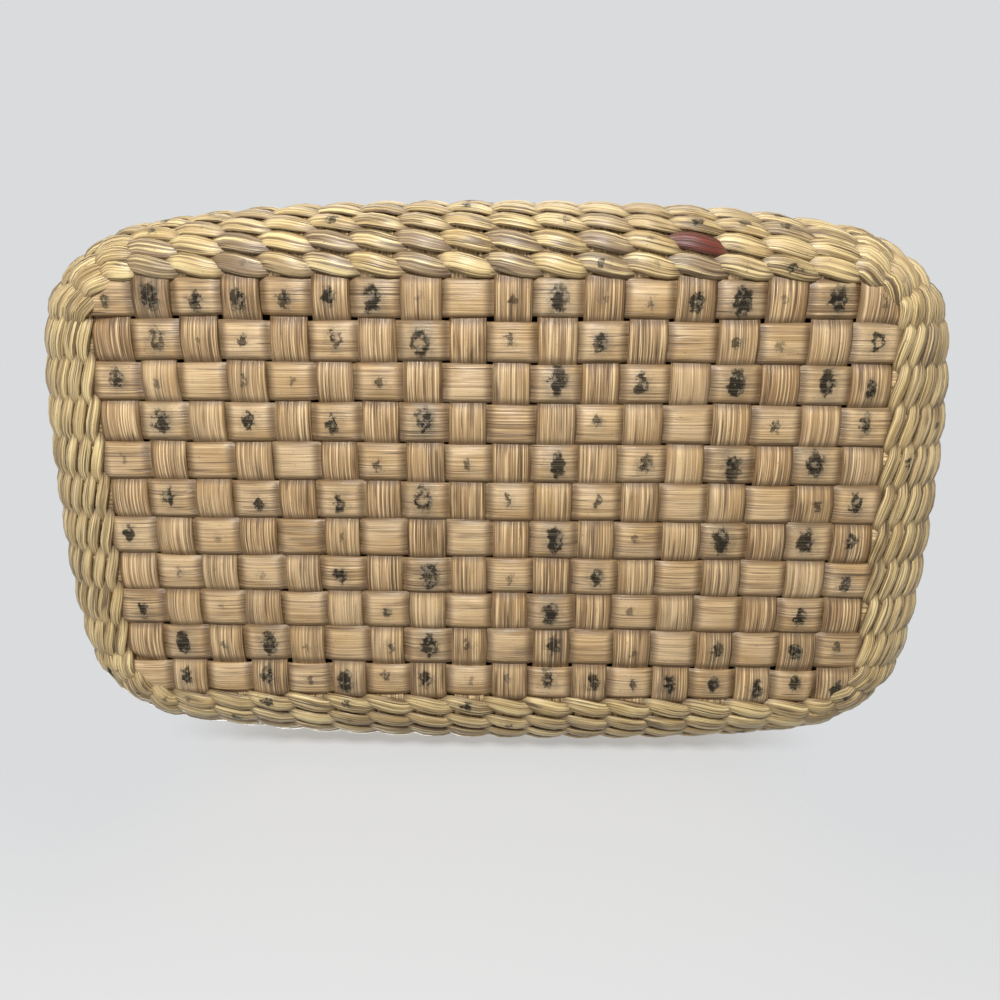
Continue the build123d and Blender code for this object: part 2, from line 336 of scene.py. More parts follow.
def woven_strip(name, number, runs_along_x, closeness, marks):
    """One leaf strip of a mat, as a sheet laid out over and under, face down, for the joined mat to be
    thickened.
    """
    cells = column_count if runs_along_x else row_count
    pitch, cross_pitch = (column_pitch, row_pitch) if runs_along_x else (row_pitch, column_pitch)
    middle = (number + 0.5) * cross_pitch - (mat_half_width if runs_along_x else mat_half_length)
    width = (weft_width if runs_along_x else warp_width) * draw.uniform(0.95, 1.03)
    width += closeness * (cross_pitch - width)
    strip = new_grid(name, cells * steps_per_cell, steps_across)
    mesh = strip.data
    flat = point_array(mesh)
    along = (flat[:, 0] + 0.5) * cells
    across = flat[:, 1] * 2
    sway = strip_sway * np.sin(along * draw.uniform(0.7, 1.3) + draw.uniform(0, 6))
    widths = width * (1 + 0.025 * np.sin(along * draw.uniform(1.0, 1.9) + draw.uniform(0, 6)))
    own = along * pitch - cells * pitch / 2
    other = middle + sway + across * widths / 2
    if runs_along_x and number in (0, row_count - 1):
        # the outermost strips along the bag leave a slit of shade beside the next strip
        inward = -np.sign(middle)
        other = other - inward * slit_share * (1 + inward * across)
    straight_own, straight_other = (straight_x, straight_y) if runs_along_x else (straight_y, straight_x)
    limit = edge_limit(other, straight_other, straight_own) + edge_overrun
    past = np.clip((np.abs(own) - straight_own) / mat_corner, 0, 1)
    drawn_in = np.sign(own) * (straight_own + past * (limit - straight_own))
    own = np.where(np.abs(own) > straight_own, drawn_in, own)
    parity = number + (1 if runs_along_x else 0)
    wave = np.sin(np.pi * (along + parity))
    over = np.tanh(weave_snap * wave) / np.tanh(weave_snap)
    height = draw.uniform(0.9, 1.06, cells + 1)[np.minimum(along.astype(int), cells - 1)]
    curl = edge_curl * np.abs(across) ** 2.6 * (0.5 + 0.5 * over)
    arch = pad_arch["weft" if runs_along_x else "warp"] * wave**2 * (over > 0)
    drop = mat_middle - weave_swing * over * height - arch + curl
    points = np.empty_like(flat)
    points[:, 0 if runs_along_x else 1] = own
    points[:, 1 if runs_along_x else 0] = other
    points[:, 2] = drop
    place_points(mesh, points)
    cell_of_face = np.clip(at_corners(mesh, along).mean(axis=1).astype(int), 0, cells - 1)
    own_corner = at_corners(mesh, own)
    other_corner = at_corners(mesh, other)
    cell_middle = ((cell_of_face + 0.5) * pitch - cells * pitch / 2)[:, None]
    start = number * 0.31 + (0 if runs_along_x else 7)
    add_uv(mesh, "fibre", own_corner + start, other_corner - middle + number * 0.05)
    local_own = (own_corner - cell_middle) / pitch * 2
    local_other = (other_corner - middle) / cross_pitch * 2
    if runs_along_x:
        add_uv(mesh, "pad", local_own, local_other)
    else:
        add_uv(mesh, "pad", local_other, local_own)
    strength, ring = strip_marks(number, runs_along_x, cells, parity, marks)
    shade = draw.uniform(0.0, 0.25) + draw.uniform(-0.25, 0.32, cells)
    if not runs_along_x:
        shade = shade + warp_shade
    seeds = draw.uniform(0, 1, cells)
    add_tone(mesh, shade[cell_of_face], strength[cell_of_face], ring[cell_of_face], seeds[cell_of_face])
    if runs_along_x:
        mesh.flip_normals()
    return strip


def woven_mat(name, closeness, marks):
    """All the strips of a mat. Closeness runs from 0, as the strips lie, to 1, where they touch."""
    strips = []
    for row in range(row_count):
        strips.append(woven_strip(f"{name}_weft_{row}", row, True, closeness, marks))
    for column in range(column_count):
        strips.append(woven_strip(f"{name}_warp_{column}", column, False, closeness, marks))
    return join(strips, name)


base_mat = woven_mat("base_mat_woven", 0.0, rub_marks)

groove_brown = (0.085, 0.042, 0.016, 1)
split_brown = (0.06, 0.03, 0.014, 1)
fleck_brown = (0.11, 0.06, 0.03, 1)
# painted shade laid along the pad edges, where the strips dip under each other
edge_shade = (0.13, 0.07, 0.028, 1)
mark_halo = (0.15, 0.125, 0.085, 1)
soot_dark = (0.018, 0.016, 0.012, 1)
soot_pale = (0.13, 0.12, 0.095, 1)
red_dark = (0.06, 0.009, 0.006, 1)
red_bright = (0.23, 0.036, 0.014, 1)
# a leaf's brownness runs from 0 to 1, and one past that is dyed red, in full at mahogany
mahogany = 2.0


def noise(tree, fibre, along, across, detail=3.0, rough=0.55):
    """Noise drawn out along the fibres."""
    scaled = add_node(tree, "Mapping", {"Vector": fibre.outputs[0], "Scale": (along, across, 1)})
    made = add_node(tree, "TexNoise", {"Vector": scaled.outputs[0], "Detail": detail, "Roughness": rough})
    made.inputs["Scale"].default_value = 1.0
    return made.outputs[0]


def mixed(tree, factor, first, second):
    """A colour between two others."""
    return add_node(tree, "Mix", {0: factor, 6: first, 7: second}, data_type="RGBA").outputs[2]


def shaded(colour, share):
    """A colour made lighter or darker."""
    return tuple(min(1, channel * share) for channel in colour[:3]) + (1,)


def vector(tree, operation, inputs, output=0):
    """The result of a Vector Math node."""
    return add_node(tree, "VectorMath", inputs, operation=operation).outputs[output]


def leaf_marks(tree, colour, lines, tone, mark, ring, edge):
    """Painted shade darkening the pad edges, and a ragged blot or ring on each marked pad: the colour, and
    how dark a mark is.
    """
    pad = add_node(tree, "UVMap", uv_map="pad")
    sides = add_node(tree, "SeparateXYZ", {0: pad.outputs[0]})
    side_x = worked(tree, "ABSOLUTE", sides.outputs[0])
    side_y = worked(tree, "ABSOLUTE", sides.outputs[1])
    to_edge = worked(tree, "MAXIMUM", side_x, side_y)
    # painted shade: darker towards each pad's edges and each stitch's ends, where it goes under its
    # neighbours
    colour = mixed(tree, ranged(tree, to_edge, 0.6, 1.0, 0.0, 0.75 * edge), colour, edge_shade)
    objects = add_node(tree, "TexCoord")
    ragged = add_node(tree, "TexNoise", {
        "Vector": objects.outputs["Object"], "Scale": 520.0, "Detail": 4.0, "Roughness": 0.65,
    })
    centred = vector(tree, "SUBTRACT", {0: ragged.outputs[1], 1: (0.5, 0.5, 0.5)})
    spread = vector(tree, "SCALE", {0: centred, "Scale": 0.95})
    seeded = add_node(tree, "TexWhiteNoise", {"W": tone.outputs["Alpha"]}, noise_dimensions="1D")
    wander = vector(tree, "SUBTRACT", {0: seeded.outputs[1], 1: (0.5, 0.5, 0.5)})
    wandered = vector(tree, "SCALE", {0: wander, "Scale": 0.4})
    moved = vector(tree, "ADD", {0: pad.outputs[0], 1: wandered})
    roughened = vector(tree, "ADD", {0: moved, 1: spread})
    upright = vector(tree, "MULTIPLY", {0: roughened, 1: (1.0, 0.58, 0.0)})
    away = vector(tree, "LENGTH", {0: upright}, "Value")
    mark_size = worked(tree, "ADD", worked(tree, "MULTIPLY", mark, 0.42), 0.03)
    share = worked(tree, "DIVIDE", away, mark_size)
    blot = ranged(tree, share, 1.05, 0.72)
    hollow = worked(tree, "MULTIPLY", blot, ranged(tree, share, 0.24, 0.52))
    shape = add_node(tree, "Mix", {0: ring, 2: blot, 3: hollow})
    on_fibres = ranged(tree, lines, 0.66, 0.46, 0.84, 1.0)
    broken = worked(tree, "MULTIPLY", on_fibres, ranged(tree, ragged.outputs[0], 0.66, 0.52, 0.5, 1.0))
    strength = worked(tree, "MULTIPLY", shape.outputs[0], broken)
    strength = worked(tree, "MULTIPLY", strength, ranged(tree, mark, 0.0, 0.5, 0.0, 0.97))
    halo = worked(tree, "MULTIPLY", ranged(tree, share, 2.3, 0.9, 0.0, 0.42), mark)
    colour = mixed(tree, halo, colour, mark_halo)
    soot = mixed(tree, ranged(tree, ragged.outputs[0], 0.5, 0.62), soot_dark, soot_pale)
    return mixed(tree, strength, colour, soot), strength


def leaf_finish(name, leaf_colours, line_strength, roughness, marked=True, edge=1.0, grain=1.0, plain=1.0):
    """Dried leaf: lengthwise fibres, dark lines between them, changes of colour and dark rub marks."""
    straw, brown, mauve = leaf_colours
    material, tree = new_material(name)
    fibre = add_node(tree, "UVMap", uv_map="fibre")
    tone = add_node(tree, "Attribute", attribute_name="tone")
    parts = add_node(tree, "SeparateColor", {0: tone.outputs["Color"]})
    brownness, mark, ring = parts.outputs[0], parts.outputs[1], parts.outputs[2]
    slow = noise(tree, fibre, 40, 80, 3.0)
    lines = noise(tree, fibre, 26, 1500 * grain, 4.0, 0.6)
    hairs = noise(tree, fibre, 120, 5200, 2.0)
    colour = mixed(tree, ranged(tree, slow, 0.36, 0.64), straw, brown)
    colour = mixed(tree, ranged(tree, brownness, 0.0, 1.0, 0.0, 0.92), colour, mauve)
    # pale strips are smooth, and brown ones show their fibres
    contrast = ranged(tree, brownness, 0.0, 0.7, line_strength * plain, line_strength)
    pale_lines = worked(tree, "MULTIPLY", ranged(tree, lines, 0.50, 0.64, 0.0, 0.9), contrast)
    colour = mixed(tree, pale_lines, colour, shaded(straw, 1.5))
    dark_lines = worked(tree, "MULTIPLY", ranged(tree, lines, 0.52, 0.36, 0.0, 0.9), contrast)
    colour = mixed(tree, dark_lines, colour, shaded(brown, 0.36))
    red_leaf = mixed(tree, ranged(tree, lines, 0.35, 0.65), red_dark, red_bright)
    colour = mixed(tree, ranged(tree, brownness, 1.2, mahogany), colour, red_leaf)
    # long dark lines where the fibres part
    parting = worked(tree, "SUBTRACT", noise(tree, fibre, 10, 560 * grain, 2.0), 0.5)
    parting = worked(tree, "ABSOLUTE", parting)
    faded = ranged(tree, noise(tree, fibre, 70, 260, 1.0), 0.42, 0.6)
    faded = worked(tree, "MULTIPLY", faded, contrast)
    grooves = worked(tree, "MULTIPLY", ranged(tree, parting, 0.045, 0.008, 0.0, 0.85), faded)
    colour = mixed(tree, grooves, colour, groove_brown)
    splits = ranged(tree, noise(tree, fibre, 30, 900, 2.0), 0.68, 0.72, 0.0, 0.8)
    colour = mixed(tree, splits, colour, split_brown)
    flecks = ranged(tree, noise(tree, fibre, 800, 1500, 2.0), 0.66, 0.73, 0.0, 0.5)
    colour = mixed(tree, flecks, colour, fleck_brown)
    shine = 0.5
    if marked:
        colour, darkness = leaf_marks(tree, colour, lines, tone, mark, ring, edge)
        shine = worked(tree, "SUBTRACT", 0.55, worked(tree, "MULTIPLY", darkness, 0.5))
    ribs = worked(tree, "ADD", worked(tree, "MULTIPLY", lines, 0.8), worked(tree, "MULTIPLY", hairs, 0.25))
    cuts = worked(tree, "MULTIPLY", worked(tree, "ADD", grooves, splits), 0.5)
    height = worked(tree, "SUBTRACT", ribs, cuts)
    relief = add_node(tree, "Bump", {"Strength": 0.9, "Distance": 0.0003, "Height": height})
    gloss = ranged(tree, lines, 0.35, 0.65, roughness + 0.12, roughness - 0.08)
    shader = add_node(tree, "BsdfPrincipled", {
        "Base Color": colour, "Roughness": gloss, "Specular IOR Level": shine, "Normal": relief.outputs[0],
    })
    add_node(tree, "OutputMaterial", {"Surface": shader.outputs[0]})
    return material


mat_leaf = leaf_finish(
    "mat_leaf", ((0.70, 0.50, 0.28, 1), (0.55, 0.35, 0.155, 1), (0.35, 0.195, 0.075, 1)),
    line_strength=1.0, roughness=0.34, grain=1.45, plain=0.5,
)
base_mat.data.materials.append(mat_leaf)
apply_modifier(base_mat, "SOLIDIFY", thickness=strip_thickness, offset=0.0)
bpy.ops.object.shade_smooth()
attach(base_mat, "bag")
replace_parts(base_mat, "base_mat")

# Body wall. Twined rows climb from the mat's edge to the rim: in each row two leaf strands wind round
# each other, one before and one behind every stake. The same way of winding goes all round the bag.
side_round = 0.018
end_round = 0.022
side_bow = 0.003
end_bow = 0.002
corner_tuck = 0.006
mouth_taper = 0.002
wall_top = 0.132584
wall_row_count = 24
steps_per_stitch = 8
steps_round = 8
stitch_half = 0.62
low_row_count = 3
low_stitches = 62
high_stitches = 66
rows_per_piece = 6
side_row_rise = 0.0059525
end_row_rise = 0.00668
end_crowding = 0.0154
crowded_rows = 5
row_overlap = 0.99
stitch_leaf_length = 0.0125
strand_leaf_width = 0.012
look_ahead = 0.04


def around_the_mat(stitch, stitches):
    """Places on the mat's edge after a number of stitches from the middle of the back, and the way out."""
    stitch = np.mod(stitch, stitches)
    turned = stitch >= stitches / 2
    half = np.where(turned, stitch - stitches / 2, stitch)
    mirrored = half > stitches / 4
    quarter = np.where(mirrored, stitches / 2 - half, half)
    side_stitches = straight_x / column_pitch
    end_stitches = straight_y / row_pitch
    corner_stitches = stitches / 4 - side_stitches - end_stitches
    angle = np.pi / 2 * (1 + np.clip((quarter - side_stitches) / corner_stitches, 0, 1))
    out_x, out_y = np.cos(angle), np.sin(angle)
    x = -np.minimum(quarter, side_stitches) * column_pitch + mat_corner * out_x
    y = np.minimum(stitches / 4 - quarter, end_stitches) * row_pitch + mat_corner * out_y
    flip_y = np.where(mirrored, -1, 1)
    y, out_y = y * flip_y, out_y * flip_y
    turn = np.where(turned, -1, 1)
    return x * turn, y * turn, out_x * turn, out_y * turn


def wall_bow(x, y, out_x, out_y):
    """How far the straight walls bow outward beside a place on the mat's edge."""
    side = side_bow * (1 - (x / mat_half_length) ** 2) * out_y**2
    return side + end_bow * (1 - (y / mat_half_width) ** 2) * out_x**2


def wall_spot(stitch, stitches, climb_side, climb_end):
    """Points on the wall's outer face with their outward and upward directions."""
    x, y, out_x, out_y = around_the_mat(stitch, stitches)
    bend = end_round * out_x**2 + side_round * out_y**2
    climb = climb_end * out_x**2 + climb_side * out_y**2
    quarter = np.pi / 2 * bend
    angle = np.minimum(climb / bend, np.pi / 2)
    height = bend * (1 - np.cos(angle)) + np.maximum(climb - quarter, 0)
    bow = wall_bow(x, y, out_x, out_y)
    tuck = corner_tuck * ((x / mat_half_length) ** 4 * out_y**2 + (y / mat_half_width) ** 4 * out_x**2)
    rise = np.maximum(height - bend, 0) / (wall_top - bend)
    reach = (bend + bow - tuck) * np.sin(angle) + tuck * rise - mouth_taper * rise**2
    spot = np.stack([x + out_x * reach, y + out_y * reach, height], axis=-1)
    outward = np.stack([out_x * np.sin(angle), out_y * np.sin(angle), -np.cos(angle)], axis=-1)
    upward = np.stack([out_x * np.cos(angle), out_y * np.cos(angle), np.sin(angle)], axis=-1)
    return spot, outward, upward


def row_climb(row):
    """How far up the wall a row lies, along the sides and at the ends, where the first rows are closer."""
    side = side_row_rise * row
    end = end_row_rise * row - end_crowding * (1 - np.exp(-row / crowded_rows))
    return side, end


def new_torus(name, steps, round_steps):
    """A plain ring, to be laid out point by point."""
    bpy.ops.object.select_all(action="DESELECT")
    bpy.ops.mesh.primitive_torus_add(
        major_segments=steps, minor_segments=round_steps, major_radius=1, minor_radius=0.25,
        generate_uvs=False,
    )
    torus = bpy.context.object
    torus.name = name
    return torus


def torus_turns(mesh):
    """How far round the ring and round its section each point lies, as shares of a turn."""
    points = point_array(mesh)
    turn = np.mod(np.arctan2(points[:, 1], points[:, 0]) / (2 * np.pi), 1)
    turn = np.where(turn > 0.99999, 0, turn)
    beyond = np.hypot(points[:, 0], points[:, 1]) - 1
    section = np.mod(np.arctan2(points[:, 2], beyond) / (2 * np.pi), 1)
    section = np.where(section > 0.99999, 0, section)
    return turn, section


def unit(vectors):
    return vectors / np.linalg.norm(vectors, axis=-1, keepdims=True)


def twined_strand(name, stitches, strand, spot_at, width_at, swing, depth, thickness, lean, shades=None):
    """One of the two strands of a row: a ring of leaf that runs in front of every second stake."""
    ring = new_torus(name, stitches * steps_per_stitch, steps_round)
    mesh = ring.data
    turn, section = torus_turns(mesh)
    stitch = turn * stitches

    def line(at):
        spot, outward, upward = spot_at(at)
        phase = np.pi * (at - 0.5 - strand)
        out = np.cos(phase)
        out = out * (1.35 - 0.35 * out**2)
        return spot + outward * (swing * out - depth)[:, None] - upward * (lean * np.sin(phase))[:, None]

    here = line(stitch)
    spot, outward, upward = spot_at(stitch)
    forward = unit(line(stitch + look_ahead) - here)
    facing_out = unit(outward - forward * (outward * forward).sum(axis=1, keepdims=True))
    across = np.cross(forward, facing_out)
    front_share = 0.5 + 0.5 * np.cos(np.pi * (stitch - 0.5 - strand))
    width = width_at(stitch) * (0.56 + 0.44 * front_share**0.8)
    thick = thickness * (0.85 + 0.15 * front_share)
    angle = 2 * np.pi * section
    side = np.cos(angle)
    rise = np.sin(angle) * (1 - 0.12 * np.abs(side))
    points = here + across * (side * width / 2)[:, None] + facing_out * (rise * thick / 2)[:, None]
    place_points(mesh, points)
    along = at_corners(mesh, stitch, stitches)
    section_corner = at_corners(mesh, section, 1.0)
    in_front = strand + 2 * np.round((along.mean(axis=1) - strand - 0.5) / 2).astype(int)
    number = in_front % stitches
    start = draw.uniform(0, 9)
    leaf_across = np.abs(section_corner - 0.5) * strand_leaf_width + draw.uniform(0, 3)
    add_uv(mesh, "fibre", along * stitch_leaf_length + start, leaf_across)
    add_uv(mesh, "pad", (along - in_front[:, None] - 0.5) / stitch_half, (section_corner - 0.25) * 4)
    if shades is None:
        shades = draw.uniform(0.0, 0.3, stitches)
    marks = np.where(draw.uniform(0, 1, stitches) > 0.8, draw.uniform(0.15, 0.5, stitches), 0.0)
    seeds = draw.uniform(0, 1, stitches)
    add_tone(mesh, shades[number], marks[number], 0 * shades[number], seeds[number])
    return ring


def recalculate(piece):
    """Turns a piece's faces outward and smooths them."""
    bpy.ops.object.select_all(action="DESELECT")
    piece.select_set(True)
    bpy.context.view_layer.objects.active = piece
    bpy.ops.object.mode_set(mode="EDIT")
    bpy.ops.mesh.select_all(action="SELECT")
    bpy.ops.mesh.normals_make_consistent(inside=False)
    bpy.ops.object.mode_set(mode="OBJECT")
    bpy.ops.object.shade_smooth()


def even_stitches(spot_line, stitches, evenness):
    """Moves stitch numbers so that they lie evenly along a row, from no move at 0 to fully at 1."""
    fine = np.linspace(0, stitches, stitches * 8 + 1)
    points = spot_line(fine)[0]
    lengths = np.concatenate([[0], np.cumsum(np.linalg.norm(np.diff(points, axis=0), axis=1))])

    def moved(stitch):
        whole = np.floor(stitch / stitches) * stitches
        within = stitch - whole
        even = np.interp(within / stitches * lengths[-1], lengths, fine)
        return whole + (1 - evenness) * within + evenness * even

    return moved


twined_leaf = leaf_finish(
    "twined_leaf", ((0.73, 0.54, 0.265, 1), (0.52, 0.35, 0.14, 1), (0.29, 0.195, 0.125, 1)),
    line_strength=1.0, roughness=0.34, edge=0.9, grain=1.3,
)
# one dark red stitch and some mauve ones on the back, in the first two rows; their columns are counted
# as those of the rub marks are, and the stitch at the middle of the back is in the tenth
red_stitch = 4
red_row = 2
mauve_columns = range(2, 15, 2)
middle_column = 10


def twined_row(row):
    """The two strands of one row of the wall."""
    stitches = low_stitches if row <= low_row_count else high_stitches
    side_climb, end_climb = row_climb(row - 0.5)
    low_side, low_end = row_climb(row - 1)
    high_side, high_end = row_climb(row)
    side_width, end_width = high_side - low_side, high_end - low_end

    def level_line(at):
        return wall_spot(at, stitches, side_climb, end_climb)

    spread_out = even_stitches(level_line, stitches, min(max((row - low_row_count) / 4, 0), 1))

    def row_line(at):
        return level_line(spread_out(at))

    def row_width(at):
        out_x = around_the_mat(spread_out(at), stitches)[2]
        return (side_width + (end_width - side_width) * out_x**2) * row_overlap

    strands = []
    for strand in (0, 1):
        shades = draw.uniform(0.0, 0.3, stitches) + (draw.uniform(0, 1, stitches) > 0.85) * 0.35
        if row <= red_row and strand == 0:
            for column in mauve_columns:
                shades[(column - middle_column) % stitches] = draw.uniform(0.7, 1.0)
        if row == red_row and strand == 0:
            shades[red_stitch] = mahogany
        strands.append(twined_strand(
            f"row_{row}_{strand}", stitches, strand, row_line, row_width,
            swing=0.00095, depth=0.0019, thickness=0.0021, lean=0.00105, shades=shades,
        ))
    return strands


for first_row in range(1, wall_row_count + 1, rows_per_piece):
    strands = []
    for row in range(first_row, first_row + rows_per_piece):
        strands.extend(twined_row(row))
    rows = join(strands, f"wall_rows_{first_row // rows_per_piece + 1}")
    recalculate(rows)
    rows.data.materials.append(twined_leaf)
    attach(rows, "bag")
    if first_row == 1:
        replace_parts(rows, "side_wall")

# Stakes. The turned-up ends of the base strips, flat leaf ribs that the twining holds. Corners get a
# few more from the fourth row up, so that the rows stay close as the walls spread.
stake_width = 0.0086
stake_thickness = 0.0006
stake_depth = 0.0019


def add_plain_tone(mesh, shades):
    """Colour of the leaf at each face, without marks."""
    nothing = np.zeros(len(mesh.polygons))
    add_tone(mesh, shades + nothing, nothing, nothing, nothing)


def add_stakes(name, stitches, first_row, last_row, even, steps):
    """A ring of stakes from one row to another, each a sheet a little narrower than its column."""
    ribs = []
    middle_side, middle_end = row_climb(wall_row_count // 2)
    spread_out = even_stitches(lambda at: wall_spot(at, stitches, middle_side, middle_end), stitches, 1.0)
    for stake in range(stitches):
        rib = new_grid(f"{name}_{stake}", steps, 2)
        mesh = rib.data
        flat = point_array(mesh)
        side_climb, end_climb = row_climb(first_row + (flat[:, 0] + 0.5) * (last_row - first_row))
        width = stake_width / column_pitch * draw.uniform(0.92, 1.05)
        at = stake + 0.5 + 0 * side_climb
        if even:
            at = spread_out(at)
        at = at + flat[:, 1] * width
        spot, outward, upward = wall_spot(at, stitches, side_climb, end_climb)
        place_points(mesh, spot - outward * stake_depth)
        along = at_corners(mesh, side_climb)
        across = at_corners(mesh, flat[:, 1] * stake_width)
        add_uv(mesh, "fibre", along + stake * 0.37, across + stake * 0.05)
        add_plain_tone(mesh, draw.uniform(0, 0.3))
        ribs.append(rib)
    stakes = join(ribs, name)
    apply_modifier(stakes, "SOLIDIFY", thickness=stake_thickness, offset=0.0)
    recalculate(stakes)
    stakes.data.materials.append(stake_leaf)
    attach(stakes, "bag")


stake_leaf = leaf_finish(
    "stake_leaf", ((0.66, 0.485, 0.265, 1), (0.50, 0.33, 0.155, 1), (0.37, 0.225, 0.10, 1)),
    line_strength=0.85, roughness=0.45, marked=False,
)
add_stakes("stakes_low", low_stitches, first_row=-0.15, last_row=3.6, even=False, steps=10)
add_stakes("stakes_high", high_stitches, first_row=3.4, last_row=24.3, even=True, steps=40)

# Rim. The stake ends are turned down over the mouth and bound round and round with leaf, which makes a
# firm edge 8 mm high for the lid to rest on.
rim_height = 0.008
rim_overhang = 0.0014
rim_depth = 0.0072
wrap_pitch = 0.0062
wrap_steps = 4
bound_round_steps = 14
wrap_girth = 0.03
ridge_power = 0.6
wrap_slant = 0.5


def top_reach(x, y, out_x, out_y):
    """How far the wall's top lies beyond a place on the mat's edge."""
    bend = end_round * out_x**2 + side_round * out_y**2
    return bend + wall_bow(x, y, out_x, out_y) - mouth_taper


def top_spot(at, beyond, height):
    """A point beyond the wall's outer face at its top, with the level way out and the way up."""
    x, y, out_x, out_y = around_the_mat(at, high_stitches)
    level = np.stack([out_x, out_y, 0 * out_x], axis=-1)
    reach = top_reach(x, y, out_x, out_y) + beyond
    spot = np.stack([x + out_x * reach, y + out_y * reach, 0 * x + height], axis=-1)
    return spot, level, np.stack([0 * x, 0 * x, 1 + 0 * x], axis=-1)


def wound_section(mesh, along, section, total, centre_at, half_out, half_up, pitch, period):
    """Lays points round a line as a bar that is wound with leaf, each turn a low ridge."""
    angle = 2 * np.pi * section
    turns = along / pitch
    swell = 0.90 + 0.10 * np.abs(np.sin(np.pi * turns)) ** ridge_power
    at = along + wrap_slant * pitch * np.sin(angle)
    spot, level, rise = centre_at(at)
    corner = (np.abs(np.cos(angle)) ** 4 + np.abs(np.sin(angle)) ** 4) ** -0.25
    corner = 1 + 0.55 * (corner - 1)
    out = np.cos(angle) * half_out * corner * swell
    lift = np.sin(angle) * half_up * corner * swell
    place_points(mesh, spot + level * out[:, None] + rise * lift[:, None])
    turn_corner = at_corners(mesh, turns, period)
    section_corner = at_corners(mesh, section, 1.0)
    number = np.floor(turn_corner.mean(axis=1)).astype(int)
    wraps = int(round(total / pitch))
    number = np.clip(number, 0, wraps) % max(wraps, 1)
    offset = draw.uniform(0, 5, wraps)
    add_uv(mesh, "fibre", section_corner * wrap_girth + offset[number][:, None], turn_corner * pitch)
    add_plain_tone(mesh, draw.uniform(0.0, 0.3, wraps)[number])


def bound_ring(name, beyond, height, half_out, half_up):
    """A border round the mouth, of a given half width and half height, bound with leaf all the way."""
    line = even_stitches(lambda at: top_spot(at, beyond, height), high_stitches, 1.0)
    fine = top_spot(np.linspace(0, high_stitches, 1001), beyond, height)[0]
    total = np.linalg.norm(np.diff(fine, axis=0), axis=1).sum()
    wraps = int(round(total / wrap_pitch))
    ring = new_torus(name, wraps * wrap_steps, bound_round_steps)
    turn, section = torus_turns(ring.data)

    def centre_at(at):
        return top_spot(line(at / total * high_stitches), beyond, height)

    wound_section(ring.data, turn * total, section, total, centre_at, half_out, half_up, total / wraps, wraps)
    recalculate(ring)
    ring.data.materials.append(binding_leaf)
    return ring


binding_leaf = leaf_finish(
    "binding_leaf", ((0.64, 0.475, 0.25, 1), (0.48, 0.325, 0.145, 1), (0.35, 0.215, 0.10, 1)),
    line_strength=0.85, roughness=0.44, marked=False,
)
rim = bound_ring(
    "rim_bound", rim_overhang - rim_depth / 2, wall_top + rim_height / 2, rim_depth / 2, rim_height / 2,
)
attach(rim, "bag")
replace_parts(rim, "rim_border")

# Lid. A second woven mat, three twined rows round it that slope down, and a bound border. It turns on
# the two cord loops at the back.
lid_clearance = 0.0003
lid_rise = 0.0045
lid_border_width = 0.0065
lid_border_height = 0.006
lid_bottom = wall_top + rim_height + lid_clearance
lid_top = lid_bottom + lid_border_height + lid_rise
lid_edge_beyond = -0.0018
lid_row_count = 3
lid_stitches = 62
lid_side_row_width = 0.0040
lid_end_row_width = 0.0050

lid_mat = woven_mat("lid_mat_woven", 1.0, {})
lid_mat.data.transform(Matrix.Translation((0, 0, lid_top)) @ Matrix.Scale(-1, 4, (0, 0, 1)))
lid_mat.data.flip_normals()
lid_mat.data.materials.append(stake_leaf)
apply_modifier(lid_mat, "SOLIDIFY", thickness=strip_thickness, offset=0.0)
bpy.ops.object.select_all(action="DESELECT")
lid_mat.select_set(True)
bpy.ops.object.shade_smooth()
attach(lid_mat, "lid")
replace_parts(lid_mat, "lid_mat")


def lid_spot(at, share):
    """A point of the lid's slope, at a share of the way from its mat to its border."""
    x, y, out_x, out_y = around_the_mat(at, lid_stitches)
    full = top_reach(x, y, out_x, out_y) + lid_edge_beyond - lid_border_width
    level = np.stack([out_x, out_y, 0 * x], axis=-1)
    rise = np.stack([0 * x, 0 * x, 1 + 0 * x], axis=-1)
    reach = share * full
    spot = np.stack([x, y, 0 * x + lid_top - lid_rise * share**2], axis=-1) + level * reach[:, None]
    slope = (2 * lid_rise * share / full)[:, None]
    return spot, unit(rise + level * slope), unit(level - rise * slope)


lid_parts = []
for row in range(lid_row_count):
    share = (row + 0.5) / lid_row_count

    def lid_line(at, share=share):
        return lid_spot(at, share)

    def lid_width(at):
        out_x = around_the_mat(at, lid_stitches)[2]
        return lid_side_row_width + (lid_end_row_width - lid_side_row_width) * out_x**2

    for strand in (0, 1):
        lid_parts.append(twined_strand(
            f"lid_row_{row}_{strand}", lid_stitches, strand, lid_line, lid_width,
            swing=0.0007, depth=0.0014, thickness=0.0016, lean=0.0007,
        ))
lid_rows = join(lid_parts, "lid_rows")
recalculate(lid_rows)
lid_rows.data.materials.append(twined_leaf)
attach(lid_rows, "lid")
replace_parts(lid_rows, "lid_wall")

lid_border = bound_ring(
    "lid_border_bound", lid_edge_beyond - lid_border_width / 2, lid_bottom + lid_border_height / 2,
    lid_border_width / 2, lid_border_height / 2,
)
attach(lid_border, "lid")
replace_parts(lid_border, "lid_border")

# Hinge. Two loops of twisted leaf cord through the rim and the lid's border, centred on the hinge line.
hinge_y = 0.0777
hinge_z = lid_bottom - lid_clearance / 2
hinge_x = 0.075
hinge_loop_radius = 0.011849
cord_strand = 0.00135
cord_twist = 0.00062
cord_lays = 20
cord_steps = 8
cord_round_steps = 6
cord_loop_length = 0.0744
cord_girth = 0.004


